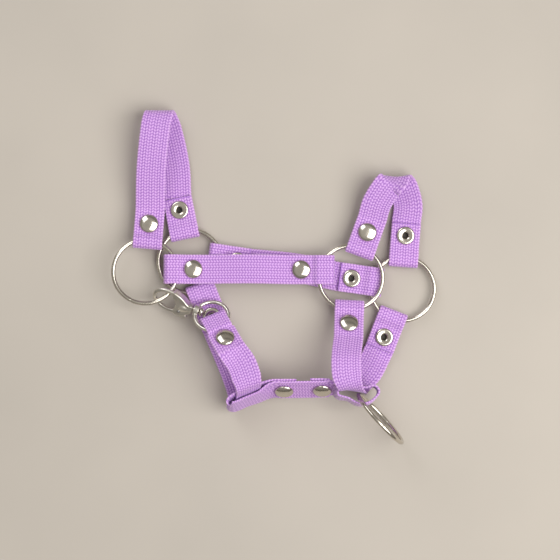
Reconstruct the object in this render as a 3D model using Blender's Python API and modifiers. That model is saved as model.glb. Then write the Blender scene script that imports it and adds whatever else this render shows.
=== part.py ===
"""Head halter lying on its side: seven riveted webbing straps, five wire rings and a lobster swivel clasp.

+Z is up, the halter lies on the plane z = 0, and the origin is at the middle of its footprint. The near
side is the upper one and the off side is the one that lies on the surface. Each strap end goes round a
ring, folds back on its inner face and is held by a tubular rivet: a domed cap outside, a flanged hollow
post inside.
"""
from math import cos, pi, radians, sin, sqrt

import bmesh
import bpy
from mathutils import Matrix, Vector

MM = 0.001                      # the driving dimensions are in millimetres

# Webbing
STRAP_WIDTH = 15.0
STRAP_THICKNESS = 1.2
LAYER_GAP = 0.3                 # between the two layers that a rivet holds
LAYER = (STRAP_THICKNESS + LAYER_GAP) / 2       # from the mid-plane to the middle of a layer
CUT_END = 6.2                   # from the rivet to the strap's cut end
FLAT = 5.2                      # flat stretch between the rivet and the loop
SAMPLE = 3.2                    # spacing of the sections along a strap

# Rings
RING_RADIUS = 16.3              # to the middle of the wire: 35 mm outside
RING_WIRE = 1.2
EYE_RADIUS = 8.6
EYE_WIRE = 1.0
LOOP_GAP = 0.35                 # from a ring's wire to the webbing

# Rivets
CAP_RADIUS = 4.75
CAP_BASE = 1.65                 # heights along the rivet, from the mid-plane between the layers
CAP_TOP = 3.5
CAP_FLAT = 1.5                  # the cap's flattened crown
POST_RADIUS = 1.8
POST_BORE = 1.45
FLANGE_RADIUS = 4.6
FLANGE_FACE = 2.45
HOLE_CLEARANCE = 0.3
RIVET_STEPS = 12

# Levels
OFF_LEVEL = CAP_TOP             # the off side's mid-plane: its caps touch the surface
OFF_STRAP = OFF_LEVEL - LAYER   # a single layer of the off side
NEAR_LEVEL = 7.8

# Clasp, in its own frame: U along the swivel axis, V across, N out of the hook's plane
CLASP_HALF_THICKNESS = 2.2
SLOT_HALF = 1.25
GATE_HALF_THICKNESS = 0.9
PIN_AT = (8.3, -3.1)
PIN_RADIUS = 0.8
NECK_AT = 14.8
BOSS_AT = 16.9                  # the eye's boss, along U
BOSS_LENGTH = 2.6
BOSS_RADIUS = 3.0
BOSS_HOLE = 1.65
SWIVEL_RADIUS = 1.25
HOOK_ROLL = radians(36)

UP = Vector((0, 0, 1))
DOWN = -UP


def clear_scene():
    for item in list(bpy.data.objects):
        bpy.data.objects.remove(item)


clear_scene()
parts = bpy.data.collections.new("head_halter")
cutters = bpy.data.collections.new("cutters")
bpy.context.scene.collection.children.link(parts)
bpy.context.scene.collection.children.link(cutters)


# ---------------------------------------------------------------- materials

def material(name, colour, roughness, metallic):
    made = bpy.data.materials.new(name)
    made.use_nodes = True
    shader = made.node_tree.nodes["Principled BSDF"]
    shader.inputs["Base Color"].default_value = (*colour, 1)
    shader.inputs["Roughness"].default_value = roughness
    shader.inputs["Metallic"].default_value = metallic
    return made


WEBBING = material("lilac_webbing", (0.55, 0.33, 0.78), 0.75, 0)
NICKEL = material("nickel", (0.72, 0.69, 0.62), 0.22, 1)
STEEL = material("spring_steel", (0.55, 0.55, 0.55), 0.35, 1)


# ---------------------------------------------------------------- shared builders

def link(obj, collection=None, finish=None):
    """Put an object in one collection only, with its material."""
    for owner in list(obj.users_collection):
        owner.objects.unlink(obj)
    (collection or parts).objects.link(obj)
    if finish:
        obj.data.materials.clear()
        obj.data.materials.append(finish)
    return obj


def empty(name, place):
    made = bpy.data.objects.new(name, None)
    made.location = place
    parts.objects.link(made)
    return made


def frame_matrix(origin, x_axis, z_axis):
    """A placing matrix from a point, a direction for X and a rough direction for Z."""
    x_axis = x_axis.normalized()
    y_axis = z_axis.cross(x_axis).normalized()
    z_axis = x_axis.cross(y_axis)
    turn = Matrix((x_axis, y_axis, z_axis)).transposed().to_4x4()
    return Matrix.Translation(origin) @ turn


def smooth(obj, angle=35):
    obj.data.shade_smooth()
    obj.data.set_sharp_from_angle(angle=radians(angle))
    return obj


def mesh_object(name, points, edges, faces, finish=None, collection=None):
    data = bpy.data.meshes.new(name)
    data.from_pydata([Vector(p) * MM for p in points], edges, faces)
    return link(bpy.data.objects.new(name, data), collection, finish)


def to_mesh(curve, name=None):
    """Turn a curve object into a mesh object at the same place, with its caps welded."""
    bpy.context.view_layer.update()
    depsgraph = bpy.context.evaluated_depsgraph_get()
    data = bpy.data.meshes.new_from_object(curve.evaluated_get(depsgraph))
    work = bmesh.new()
    work.from_mesh(data)
    bmesh.ops.remove_doubles(work, verts=work.verts, dist=0.00001)
    bmesh.ops.recalc_face_normals(work, faces=work.faces)
    work.to_mesh(data)
    work.free()
    made = bpy.data.objects.new(name or curve.name, data)
    made.matrix_world = curve.matrix_world.copy()
    bpy.data.objects.remove(curve)
    return made


def turned(name, profile, steps, finish, closed=False):
    """A turned piece: (radius, height) points round Z, in millimetres."""
    count = len(profile)
    edges = [(i, i + 1) for i in range(count - 1)]
    if closed:
        edges.append((count - 1, 0))
    made = mesh_object(name, [(r, 0, z) for r, z in profile], edges, [], finish)
    screw = made.modifiers.new("turn", "SCREW")
    screw.steps = steps
    screw.render_steps = steps
    screw.use_merge_vertices = True
    screw.merge_threshold = 0.00001
    screw.use_smooth_shade = True
    return made


def cylinder(name, radius, start, end, steps=20):
    """A cutter: a cylinder between two world points, in millimetres."""
    axis = end - start
    bpy.ops.mesh.primitive_cylinder_add(vertices=steps, radius=radius * MM, depth=axis.length * MM)
    made = link(bpy.context.object, cutters)
    made.name = name
    made.matrix_world = frame_matrix((start + end) / 2 * MM, axis.orthogonal(), axis)
    return hide(made)


def hide(cutter):
    cutter.hide_render = True
    cutter.display_type = "WIRE"
    return cutter


def cut(target, cutter, operation="DIFFERENCE"):
    step = target.modifiers.new(cutter.name, "BOOLEAN")
    step.operation = operation
    step.object = cutter
    step.solver = "EXACT"


def torus(name, radius, wire, matrix, steps=36, sides=7):
    bpy.ops.mesh.primitive_torus_add(major_radius=radius * MM, minor_radius=wire * MM,
                                     major_segments=steps, minor_segments=sides)
    made = link(bpy.context.object, parts, NICKEL)
    made.name = name
    made.matrix_world = matrix
    return smooth(made, 80)


def ring_matrix(centre, normal):
    return frame_matrix(centre * MM, normal.orthogonal(), normal)


# ---------------------------------------------------------------- straps

def spline(keys):
    """Points and width directions along a smooth curve through (point, width direction) keys."""
    samples = []
    for i in range(len(keys) - 1):
        before = keys[max(i - 1, 0)]
        start, end = keys[i], keys[i + 1]
        after = keys[min(i + 2, len(keys) - 1)]
        span = (end[0] - start[0]).length
        leave = (end[0] - before[0]).normalized() * span
        arrive = (after[0] - start[0]).normalized() * span
        steps = max(2, round(span / SAMPLE))
        for k in range(steps):
            s = k / steps
            point = (start[0] * (2 * s**3 - 3 * s**2 + 1) + leave * (s**3 - 2 * s**2 + s)
                     + end[0] * (3 * s**2 - 2 * s**3) + arrive * (s**3 - s**2))
            samples.append((point, start[1].lerp(end[1], s * s * (3 - 2 * s))))
    samples.append(keys[-1])
    return samples


def ribbon(name, samples):
    """A strap along (point, width direction) samples: an open sheet with Solidify."""
    points = []
    for i, (point, across) in enumerate(samples):
        ahead = samples[min(i + 1, len(samples) - 1)][0] - samples[max(i - 1, 0)][0]
        width = across.length
        across = (across - ahead * across.dot(ahead) / ahead.length_squared).normalized() * width
        points += [point - across * STRAP_WIDTH / 2, point + across * STRAP_WIDTH / 2]
    faces = [(2 * i, 2 * i + 1, 2 * i + 3, 2 * i + 2) for i in range(len(samples) - 1)]
    made = mesh_object(name, points, [], faces, WEBBING)
    thicken = made.modifiers.new("thickness", "SOLIDIFY")
    thicken.thickness = STRAP_THICKNESS * MM
    thicken.offset = 0
    return made


def strap_end(centre, along, outward, run, radius=RING_RADIUS, wire=RING_WIRE,
              sideways=0.0, slack=0.0, lift=0.0, spread=0.0, squeeze=1.0):
    """The loop of one strap end round a ring.

    centre: the ring's centre. along: from the ring's centre towards the rivet. outward: the normal of
    the strap's outer face. run: from the fold's centre to the rivet. sideways: how far the strap lies
    off the ring's centre. slack: how far the fold hangs into the ring. lift: how far the loop turns
    out of the ring's plane. spread: more room in the loop. squeeze: the part of its width that the strap
    keeps in the loop. The samples run from the outer layer to the cut end.
    """
    along = (along - outward * along.dot(outward)).normalized()
    across = along.cross(outward)
    at_edge = sqrt(radius**2 - (abs(sideways) + squeeze * STRAP_WIDTH / 2)**2)
    fold_at = at_edge - wire * (radius / at_edge - 1) - slack
    straight = radius - fold_at + 0.3
    pivot = centre + along * (fold_at + straight / 2) + across * sideways
    turn = Matrix.Rotation(lift, 3, across)
    along, outward = turn @ along, turn @ outward
    fold = pivot - along * straight / 2
    half = wire + LOOP_GAP + STRAP_THICKNESS / 2 + spread

    def at(distance, height):
        return fold + along * distance + outward * height

    flat = run - FLAT
    ramp = [0.15, 0.5, 0.85]
    outline = [(run + CUT_END + 1.0, LAYER), (run, LAYER), (flat, LAYER)]
    outline += [(flat + (straight - flat) * s, LAYER + (half - LAYER) * s * s * (3 - 2 * s)) for s in ramp]
    outline += [(straight, half)]
    turns = 7
    outline += [(-half * sin(pi * k / turns), half * cos(pi * k / turns)) for k in range(turns + 1)]
    outline += [(straight, -half)]
    outline += [(straight + (flat - straight) * s, -half + (half - LAYER) * s * s * (3 - 2 * s)) for s in ramp]
    outline += [(flat, -LAYER), (run, -LAYER), (run + CUT_END, -LAYER)]
    samples = [(at(d, h), across * (squeeze if d < flat - 0.01 else 1)) for d, h in outline]
    return {"samples": samples, "rivet": at(run, 0), "outward": outward}


def key(x, y, z, across_x=1.0, across_y=0.0, across_z=0.0, width=1.0):
    """A point of a strap's route; width narrows it where another strap's loop squeezes it."""
    return Vector((x, y, z)), Vector((across_x, across_y, across_z)).normalized() * width


def strap(name, first, middle, last):
    """A strap from one looped end to another, with its two rivets."""
    start = list(reversed(first["samples"]))
    end = [(point, -across) for point, across in last["samples"]]
    route = spline([start[-1]] + middle + [end[0]])
    made = ribbon(name, start[:-1] + route + end[1:])
    for number, loop in enumerate((first, last)):
        rivet_hole(made, name, number, loop["rivet"], loop["outward"])
    return made


def rivet_hole(target, name, number, place, outward):
    reach = outward * (CAP_BASE - 0.1)
    hole = cylinder(f"{name}_hole_{number}", POST_RADIUS + HOLE_CLEARANCE, place - reach, place + reach, 10)
    cut(target, hole)


# ---------------------------------------------------------------- rivets

CAP_PROFILE = [(0, CAP_TOP), (CAP_FLAT, CAP_TOP), (3.1, CAP_TOP - 0.3), (4.2, CAP_TOP - 0.8),
               (CAP_RADIUS, CAP_BASE + 0.45), (CAP_RADIUS, CAP_BASE),
               (POST_RADIUS + 0.3, CAP_BASE), (POST_RADIUS + 0.3, 2.55), (0, 2.55)]
POST_PROFILE = [(POST_RADIUS, 2.2), (POST_RADIUS, -CAP_BASE), (FLANGE_RADIUS, -CAP_BASE),
                (FLANGE_RADIUS, -CAP_BASE - 0.5), (4.1, -FLANGE_FACE), (2.3, -FLANGE_FACE),
                (POST_BORE, -FLANGE_FACE + 0.35), (POST_BORE, 2.2)]


def rivet(name, place, outward):
    """A tubular rivet: the domed cap on the outer face and the flanged hollow post on the inner one."""
    matrix = ring_matrix(place, outward)
    cap = turned(f"{name}_cap", CAP_PROFILE, RIVET_STEPS, NICKEL)
    post = turned(f"{name}_post", POST_PROFILE, RIVET_STEPS, NICKEL, closed=True)
    for piece in (cap, post):
        piece.matrix_world = matrix


# ---------------------------------------------------------------- rings

def tilted(slope_x, slope_y):
    """The normal of a plane that rises by the given slopes along X and Y."""
    return Vector((-slope_x, -slope_y, 1)).normalized()


CROWN_NEAR = Vector((-66.1, 2.5, 9.3))
CROWN_OFF = Vector((-43.4, 7.7, OFF_LEVEL))
NOSE_NEAR = Vector((39.2, -0.6, NEAR_LEVEL))
NOSE_OFF = Vector((66.06, -6.4, OFF_LEVEL))
CROWN_NEAR_NORMAL = tilted(-0.065, -0.07)

torus("crown_ring_near", RING_RADIUS, RING_WIRE, ring_matrix(CROWN_NEAR, CROWN_NEAR_NORMAL))
torus("crown_ring_off", RING_RADIUS, RING_WIRE, ring_matrix(CROWN_OFF, UP))
torus("nose_ring_near", RING_RADIUS, RING_WIRE, ring_matrix(NOSE_NEAR, UP))
torus("nose_ring_off", RING_RADIUS, RING_WIRE, ring_matrix(NOSE_OFF, UP))

# The lead ring stands on its edge, leaning a little, its nearest side inside the jaw strap's loop.
LEAD_LEAN = radians(5)
LEAD_RING = Vector((53.6, -72.05, RING_RADIUS * cos(LEAD_LEAN) + RING_WIRE))
LEAD_ALONG = Vector((0.68, -0.73, 0)).normalized()
LEAD_NORMAL = Matrix.Rotation(LEAD_LEAN, 3, LEAD_ALONG) @ LEAD_ALONG.cross(UP)
LEAD_HINGE = LEAD_RING - LEAD_ALONG * RING_RADIUS
lead_ring = torus("lead_ring", RING_RADIUS, RING_WIRE, ring_matrix(LEAD_RING, LEAD_NORMAL))
lead_pivot = empty("lead_ring_pivot", LEAD_HINGE * MM)
lead_pivot.matrix_world = Matrix.Translation(LEAD_HINGE * MM)
bpy.context.view_layer.update()
lead_ring.parent = lead_pivot
lead_ring.matrix_parent_inverse = lead_pivot.matrix_world.inverted()

# The clasp's eye, which the throat strap's near end goes round
EYE = Vector((-31.9, -20.1, 12.8))
EYE_NORMAL = Vector((0, sin(radians(35)), cos(radians(35))))


# ---------------------------------------------------------------- the straps and where they go

def build_straps():
    loops = {
        "crown_near": strap_end(CROWN_NEAR, Vector((0.08, 1, 0)), CROWN_NEAR_NORMAL, 10.2),
        "crown_off": strap_end(CROWN_OFF, Vector((-0.2, 0.98, 0)), DOWN, 12.7),
        "nose_near": strap_end(NOSE_NEAR, Vector((0.34, 0.94, 0)), UP, 10.4),
        "nose_off": strap_end(NOSE_OFF, Vector((0.08, 1, 0)), DOWN, 13.6, sideways=0.8),
        "cheek_near_crown": strap_end(CROWN_NEAR, Vector((1, 0, 0)), CROWN_NEAR_NORMAL, 12.4,
                                      sideways=-1.3, slack=1.4),
        "cheek_near_nose": strap_end(NOSE_NEAR, Vector((-1, 0, 0)), UP, 14.5, sideways=4.1),
        "cheek_off_crown": strap_end(CROWN_OFF, Vector((0.99, -0.143, 0)), DOWN, 12.6, sideways=3.6),
        "cheek_off_nose": strap_end(NOSE_OFF, Vector((-0.99, 0.143, 0)), DOWN, 13.6,
                                    sideways=-1.6, slack=-0.0),
        "chin_near": strap_end(NOSE_NEAR, Vector((-0.05, -1, 0)), UP, 10.8, lift=radians(29), spread=0.35),
        "chin_off": strap_end(NOSE_OFF, Vector((-0.36, -0.93, 0)), DOWN, 12.3),
        "throat_near": strap_end(EYE, Vector((0.52, -0.85, 0.60)), EYE_NORMAL, 14.0,
                                 EYE_RADIUS, EYE_WIRE, squeeze=0.9, slack=2.8),
        "throat_off": strap_end(CROWN_OFF, Vector((0.37, -0.93, 0)), DOWN, 16.0),
    }
    strap("crown_strap", loops["crown_near"], [
        key(-62.9, 54.3, 12.0, 0.995, -0.08), key(-60.6, 75.5, 14.3, 0.995, -0.02),
        key(-59.3, 82.4, 12.6), key(-58.6, 84.6, 8.6), key(-58.0, 82.4, 4.6, 0.99, 0.06),
        key(-55.2, 75.5, 2.9, 0.98, 0.16), key(-51.2, 57.0, OFF_STRAP, 0.98, 0.18),
    ], loops["crown_off"])
    strap("nose_strap", loops["nose_near"], [
        key(52.4, 37.5, 10.8, 0.92, -0.38), key(57.6, 45.8, 12.8, 0.95, -0.3),
        key(60.5, 48.3, 11.8, 0.99, -0.04), key(62.6, 50.7, 8.3), key(64.7, 48.4, 4.7, 1, -0.02),
        key(66.9, 44.6, 3.1, 0.99, 0.12), key(68.9, 36.5, OFF_STRAP, 1, 0.03),
    ], loops["nose_off"])
    strap("cheek_strap_near", loops["cheek_near_crown"], [
        key(-13.0, 3.9, NEAR_LEVEL + 1.2, 0, -1),
    ], loops["cheek_near_nose"])
    strap("cheek_strap_off", loops["cheek_off_crown"], [
        key(10.5, 4.5, OFF_STRAP, 0.143, 0.99),
    ], loops["cheek_off_nose"])
    strap("chin_strap", loops["chin_near"], [
        key(36.2, -40.8, 25.0, -1, 0.02), key(36.4, -49.0, 27.0, -1, 0.03),
        key(38.0, -54.8, 26.2, -0.99, 0.06, width=0.88), key(40.3, -57.3, 22.0, -0.98, 0.14, width=0.76),
        key(40.6, -57.5, 15.0, -0.97, 0.22, width=0.86), key(41.6, -57.4, 7.6, -0.94, 0.34, width=0.86),
        key(43.8, -54.2, 3.6, -0.91, 0.42, width=0.93), key(48.6, -48.4, OFF_STRAP, -0.87, 0.49),
    ], loops["chin_off"])
    strap("throat_strap", loops["throat_near"], [
        key(-16.6, -43.8, 25.4, -0.94, -0.34), key(-14.2, -50.0, 25.8, -0.93, -0.37),
        key(-12.9, -54.8, 24.8, -0.93, -0.37, width=0.9), key(-12.9, -57.4, 21.6, -0.93, -0.37, width=0.86),
        key(-13.3, -60.3, 16.0, -0.93, -0.37, width=0.9), key(-14.2, -63.3, 9.5, -0.93, -0.37, width=0.9),
        key(-15.0, -65.0, 5.2, -0.93, -0.37, width=0.95), key(-16.0, -62.6, 3.0, -0.93, -0.37),
        key(-18.2, -55.0, OFF_STRAP, -0.93, -0.37), key(-22.8, -43.0, OFF_STRAP, -0.93, -0.37),
    ], loops["throat_off"])
    caps = {
        "crown_rivet_near": "crown_near", "crown_rivet_off": "crown_off",
        "nose_rivet_near": "nose_near", "nose_rivet_off": "nose_off",
        "cheek_rivet_near_rear": "cheek_near_crown", "cheek_rivet_near_front": "cheek_near_nose",
        "cheek_rivet_off_rear": "cheek_off_crown", "cheek_rivet_off_front": "cheek_off_nose",
        "chin_rivet_near": "chin_near", "chin_rivet_off": "chin_off",
        "throat_rivet_near": "throat_near", "throat_rivet_off": "throat_off",
    }
    for name, loop in caps.items():
        rivet(name, loops[loop]["rivet"], loops[loop]["outward"])


def build_jaw_strap():
    """The strap between the throat and chin straps: it loops round both, standing on its edge."""
    outward = Vector((0, -0.8, 0.6))
    across = Vector((0, 0.6, 0.8))
    rear, front = Vector((5.0, -57.0, 15.0)), Vector((24.4, -56.6, 15.8))
    outer, inner = outward * LAYER, -outward * LAYER
    near_rear, near_front = Vector((-4.9, 0, 0)), Vector((5.3, 0, 0))
    rear_loop = [
        key(-7.6, -61.2, 14.4, 0, 0.42, 0.91), key(-14.5, -63.8, 14.2, 0, 0.39, 0.92),
        key(-20.6, -66.2, 14.0, 0, 0.39, 0.92), key(-23.0, -65.4, 14.0, 0, 0.39, 0.92),
        key(-21.6, -62.8, 14.0, 0, 0.39, 0.92), key(-14.5, -59.6, 14.2, 0, 0.39, 0.92),
        key(-7.2, -56.8, 14.4, 0, 0.42, 0.91),
    ]
    front_loop = [
        key(32.2, -60.9, 16.3, 0, 0.2, 0.98), key(37.2, -62.2, 16.4, 0, 0.15, 1),
        key(42.4, -64.8, 16.4, 0, 0.15, 1), key(47.4, -64.5, 16.4, 0, 0.15, 1),
        key(51.4, -61.4, 16.4, 0, 0.15, 1), key(52.8, -58.2, 16.4, 0, 0.1, 1),
        key(50.6, -55.6, 16.4, 0, 0.1, 1), key(45.8, -56.2, 16.4, 0, 0.05, 1),
        key(39.6, -54.8, 16.4, 0, 0.05, 1), key(33.6, -53.4, 16.3, 0, 0.1, 1),
    ]
    cut_rear, cut_front = Vector((CUT_END, 0, 0)), Vector((-CUT_END, 0, 0))
    route = ([(rear + inner + cut_rear, across), (rear + inner, across)]
             + [(rear + inner + near_rear, across)] + rear_loop[::-1]
             + [(rear + outer + near_rear, across), (rear + outer, across)]
             + [(front + outer, across), (front + outer + near_front, across)]
             + front_loop
             + [(front + inner + near_front, across), (front + inner, across),
                (front + inner + cut_front, across)])
    made = ribbon("jaw_strap", spline(route))
    for number, (name, place) in enumerate((("jaw_rivet_rear", rear), ("jaw_rivet_front", front))):
        rivet_hole(made, "jaw_strap", number, place, outward)
        rivet(name, place, outward)


# ---------------------------------------------------------------- clasp

def clasp_frame():
    """The hook's placing matrix: U on the swivel axis, V to the hook's back, N out of its plane."""
    towards_boss = Vector((-0.94, 0.34, 0))
    towards_boss.z = -EYE_NORMAL.y * towards_boss.y / EYE_NORMAL.z
    boss = EYE + towards_boss.normalized() * EYE_RADIUS
    u_axis = Vector((0.938, -0.339, 0.07)).normalized()
    level = UP.cross(u_axis).normalized()
    v_axis = Matrix.Rotation(HOOK_ROLL, 3, u_axis) @ level
    return frame_matrix((boss - u_axis * BOSS_AT) * MM, u_axis, u_axis.cross(v_axis))


def plate(name, outline, half_thickness, edge, finish):
    """A flat piece with rounded edges, from a closed smooth outline in the hook's plane."""
    curve = bpy.data.curves.new(name, "CURVE")
    curve.dimensions = "2D"
    curve.fill_mode = "BOTH"
    curve.extrude = (half_thickness - edge) * MM
    curve.bevel_depth = edge * MM
    curve.offset = -edge * MM
    curve.bevel_resolution = 1
    line = curve.splines.new("POLY")
    line.points.add(len(outline) - 1)
    for point, (u, v) in zip(line.points, outline):
        point.co = (u * MM, v * MM, 0, 1)
    line.use_cyclic_u = True
    made = to_mesh(link(bpy.data.objects.new(name + "_outline", curve)), name)
    return link(made, parts, finish)


def tube(name, points, radii, finish, collection=None):
    """A round bar through points in the hook's plane, with its own radius at each."""
    curve = bpy.data.curves.new(name, "CURVE")
    curve.dimensions = "3D"
    curve.bevel_depth = MM
    curve.bevel_resolution = 2
    curve.use_fill_caps = True
    line = curve.splines.new("POLY")
    line.points.add(len(points) - 1)
    for point, place, radius in zip(line.points, points, radii):
        point.co = (*(Vector(place) * MM), 1)
        point.radius = radius
    made = to_mesh(link(bpy.data.objects.new(name + "_path", curve)), name)
    return link(made, collection, finish)


def arc_points(centre, radius_u, radius_v, start, end, count):
    return [(centre[0] + radius_u * cos(radians(start + (end - start) * k / count)),
             centre[1] + radius_v * sin(radians(start + (end - start) * k / count)), 0)
            for k in range(count + 1)]


def build_clasp():
    place = clasp_frame()

    def world(u, v, n):
        return (place @ (Vector((u, v, n)) * MM)) / MM

    # Hook: a forked body with the round limb of the hook on it
    body = plate("clasp_hook", [
        (3.6, 6.8), (5.8, 6.5), (8.8, 5.1), (11.6, 2.9), (13.2, 2.1), (NECK_AT, 2.1), (NECK_AT, -2.1),
        (13.4, -2.6), (11.4, -4.6), (8.6, -5.5), (6.2, -5.2), (5.4, -3.6), (6.1, -1.4), (5.9, 0.8),
        (4.9, 2.7), (3.6, 3.9)], CLASP_HALF_THICKNESS, 0.6, NICKEL)
    bend = arc_points((-0.1, 0.8), 6.0, 4.7, 88, 219, 7)
    limb_radii = [1.4, 1.3] + [1.22 - 0.03 * k for k in range(len(bend))]
    limb = tube("hook_limb", [(5.4, 4.5, 0), (3.0, 5.3, 0)] + bend, limb_radii, None, cutters)
    slot = box_cutter("gate_slot", (4.6, 13.2), (-8.5, -1.0), SLOT_HALF)
    pin_hole = local_cylinder("pin_hole", PIN_RADIUS + 0.3, (*PIN_AT, -4), (*PIN_AT, 4))
    swivel_hole = local_cylinder("swivel_hole", SWIVEL_RADIUS + 0.3, (11.4, 0, 0), (16, 0, 0))
    spring_hole = local_cylinder("spring_hole", 1.25, (6.9, -2.0, 0), (6.9, 2.3, 0))
    for cutter, operation in ((limb, "UNION"), (slot, "DIFFERENCE"), (pin_hole, "DIFFERENCE"),
                              (swivel_hole, "DIFFERENCE"), (spring_hole, "DIFFERENCE")):
        hide(cutter)
        cutter.matrix_world = place @ cutter.matrix_world
        cut(body, cutter, operation)
    body.matrix_world = place

    # Gate: a rocking lever with its thumb tab, on a pin through the fork
    hinge = place @ Matrix.Translation(Vector((*PIN_AT, 0)) * MM)
    outline = [(-3.4, -3.6), (-2.5, -4.9), (0.4, -6.0), (4.2, -6.3), (7.0, -6.0), (9.2, -7.3),
               (11.0, -7.7), (12.6, -6.9), (12.4, -5.6), (10.4, -4.4), (9.9, -2.9), (9.1, -1.8),
               (7.6, -1.7), (6.8, -2.6), (5.2, -4.2), (2.0, -4.5), (-0.6, -4.0), (-2.5, -3.1)]
    gate = plate("clasp_gate", [(u - PIN_AT[0], v - PIN_AT[1]) for u, v in outline],
                 GATE_HALF_THICKNESS, 0.3, NICKEL)
    gate.matrix_world = hinge
    gate_hole = local_cylinder("gate_hole", PIN_RADIUS + 0.3, (*PIN_AT, -3), (*PIN_AT, 3))
    gate_hole.matrix_world = place @ gate_hole.matrix_world
    cut(gate, gate_hole)

    pin = turned("gate_pin", [(0, 2.5), (PIN_RADIUS, 2.5), (PIN_RADIUS, -2.5), (0, -2.5)], 14, STEEL)
    pin.matrix_world = hinge

    turns, per_turn = 3, 10
    spring = tube("gate_spring", [(6.9 + 0.75 * cos(2 * pi * k / per_turn),
                                   -1.2 + 3.0 * k / (turns * per_turn),
                                   0.75 * sin(2 * pi * k / per_turn)) for k in range(turns * per_turn + 1)],
                  [0.2] * (turns * per_turn + 1), STEEL)
    spring.matrix_world = place

    # Swivel: a headed post in the hook's tail, turning in the eye's boss
    post = turned("swivel_post", [(0, 20.6), (1.5, 20.6), (2.2, 20.0), (2.2, 19.0), (SWIVEL_RADIUS, 18.6),
                                  (SWIVEL_RADIUS, 11.8), (0, 11.8)], 16, NICKEL)
    post.matrix_world = place @ Matrix.Rotation(pi / 2, 4, "Y")

    eye = torus("clasp_eye", EYE_RADIUS, EYE_WIRE, ring_matrix(EYE, EYE_NORMAL), 32)
    half = BOSS_LENGTH / 2
    boss = cylinder("eye_boss", BOSS_RADIUS, world(BOSS_AT - half, 0, 0), world(BOSS_AT + half, 0, 0))
    cut(eye, boss, "UNION")
    cut(eye, cylinder("eye_hole", BOSS_HOLE, world(BOSS_AT - 3, 0, 0), world(BOSS_AT + 3.9, 0, 0)))


def box_cutter(name, along_u, along_v, half_height):
    bpy.ops.mesh.primitive_cube_add(size=1)
    made = link(bpy.context.object, cutters)
    made.name = name
    size = (along_u[1] - along_u[0], along_v[1] - along_v[0], 2 * half_height)
    middle = ((along_u[0] + along_u[1]) / 2, (along_v[0] + along_v[1]) / 2, 0)
    made.matrix_world = Matrix.Translation(Vector(middle) * MM) @ Matrix.Diagonal((*(Vector(size) * MM), 1))
    return made


def local_cylinder(name, radius, start, end):
    return cylinder(name, radius, Vector(start), Vector(end), 16)


build_straps()
build_jaw_strap()
build_clasp()
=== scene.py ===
"""Looks for the head halter: woven webbing, wire rings, tubular rivets and a lobster swivel clasp."""
from math import cos, exp, pi, radians, sin, sqrt

import bmesh
import bpy
import numpy as np
from mathutils import Matrix, Vector


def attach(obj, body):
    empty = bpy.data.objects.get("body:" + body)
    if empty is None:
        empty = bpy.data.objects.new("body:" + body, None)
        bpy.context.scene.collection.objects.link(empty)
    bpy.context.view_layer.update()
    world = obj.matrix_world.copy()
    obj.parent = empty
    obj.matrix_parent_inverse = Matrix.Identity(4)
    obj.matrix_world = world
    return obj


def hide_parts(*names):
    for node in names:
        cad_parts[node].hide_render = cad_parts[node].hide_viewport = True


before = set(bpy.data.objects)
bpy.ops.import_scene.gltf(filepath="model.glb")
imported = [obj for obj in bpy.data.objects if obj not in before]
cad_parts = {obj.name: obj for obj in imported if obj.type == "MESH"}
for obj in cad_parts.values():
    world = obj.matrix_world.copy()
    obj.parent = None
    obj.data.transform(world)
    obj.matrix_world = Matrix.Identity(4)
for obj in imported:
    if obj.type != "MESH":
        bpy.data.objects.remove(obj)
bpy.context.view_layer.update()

MM = 0.001                      # the dimensions below are in millimetres

# Webbing, as in the CAD
STRAP_WIDTH = 15.0
STRAP_THICKNESS = 1.2
LAYER_GAP = 0.3
LAYER = (STRAP_THICKNESS + LAYER_GAP) / 2
CUT_END = 6.2
FLAT = 5.2
SPACING = 0.3                   # of the cross-sections along a strap
FACE_POINTS = 45                # across each face of the webbing
SELVEDGE = 0.55                 # radius of the rounded edges
COLUMNS = 11                    # chevron columns across the webbing
PITCH = 1.5                     # of the chevrons along it
RELIEF = 0.17                   # depth of the weave
BEAD = 0.16                     # of the selvedge, from trough to crest
COLUMN_SHIFT = 0.12             # of a column's crowns along the webbing, in pitches, turn and turn about
YARN_LEAN = 0.42                # of the yarn across a column, in pitches
FUSED_END = 0.9                 # length of the glazed cut end

# Rings
RING_RADIUS = 16.3
RING_WIRE = 1.2
RING_SKIN = 1.1                 # the finished wire, round inside the CAD's flats
EYE_RADIUS = 8.6
EYE_WIRE = 1.0
LOOP_GAP = 0.35

# Rivets
CAP_RADIUS = 4.75
CAP_BASE = 1.65
CAP_TOP = 3.5
POST_RADIUS = 1.8
POST_BORE = 1.45
FLANGE_RADIUS = 4.6
FLANGE_FACE = 2.45
EYELET_CLEARANCE = 0.2

# Levels
OFF_LEVEL = CAP_TOP
OFF_STRAP = OFF_LEVEL - LAYER
NEAR_LEVEL = 7.8

# Clasp
PIN_AT = (8.3, -3.1)
PIN_RADIUS = 0.8
NECK_AT = 14.8
BOSS_AT = 16.9
BOSS_LENGTH = 2.6
BOSS_RADIUS = 3.0
BOSS_HOLE = 1.65
SWIVEL_RADIUS = 1.25
HOOK_ROLL = radians(36)
HOOK_VOXEL = 0.16
GATE_VOXEL = 0.12
EYE_VOXEL = 0.13

# Camera: straight above the halter
CAMERA_AT = (2.9, -1.8, 900.0)
CAMERA_LENS = 111.9

UP = Vector((0, 0, 1))
DOWN = -UP


# ---------------------------------------------------------------- materials

def node(tree, kind, inputs=None, **settings):
    made = tree.nodes.new(kind)
    for name, value in settings.items():
        setattr(made, name, value)
    for name, value in (inputs or {}).items():
        if isinstance(value, bpy.types.NodeSocket):
            tree.links.new(value, made.inputs[name])
        else:
            made.inputs[name].default_value = value
    return made


def blank_material(name):
    made = bpy.data.materials.new(name)
    made.use_nodes = True
    return made, made.node_tree, made.node_tree.nodes["Principled BSDF"]


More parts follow.
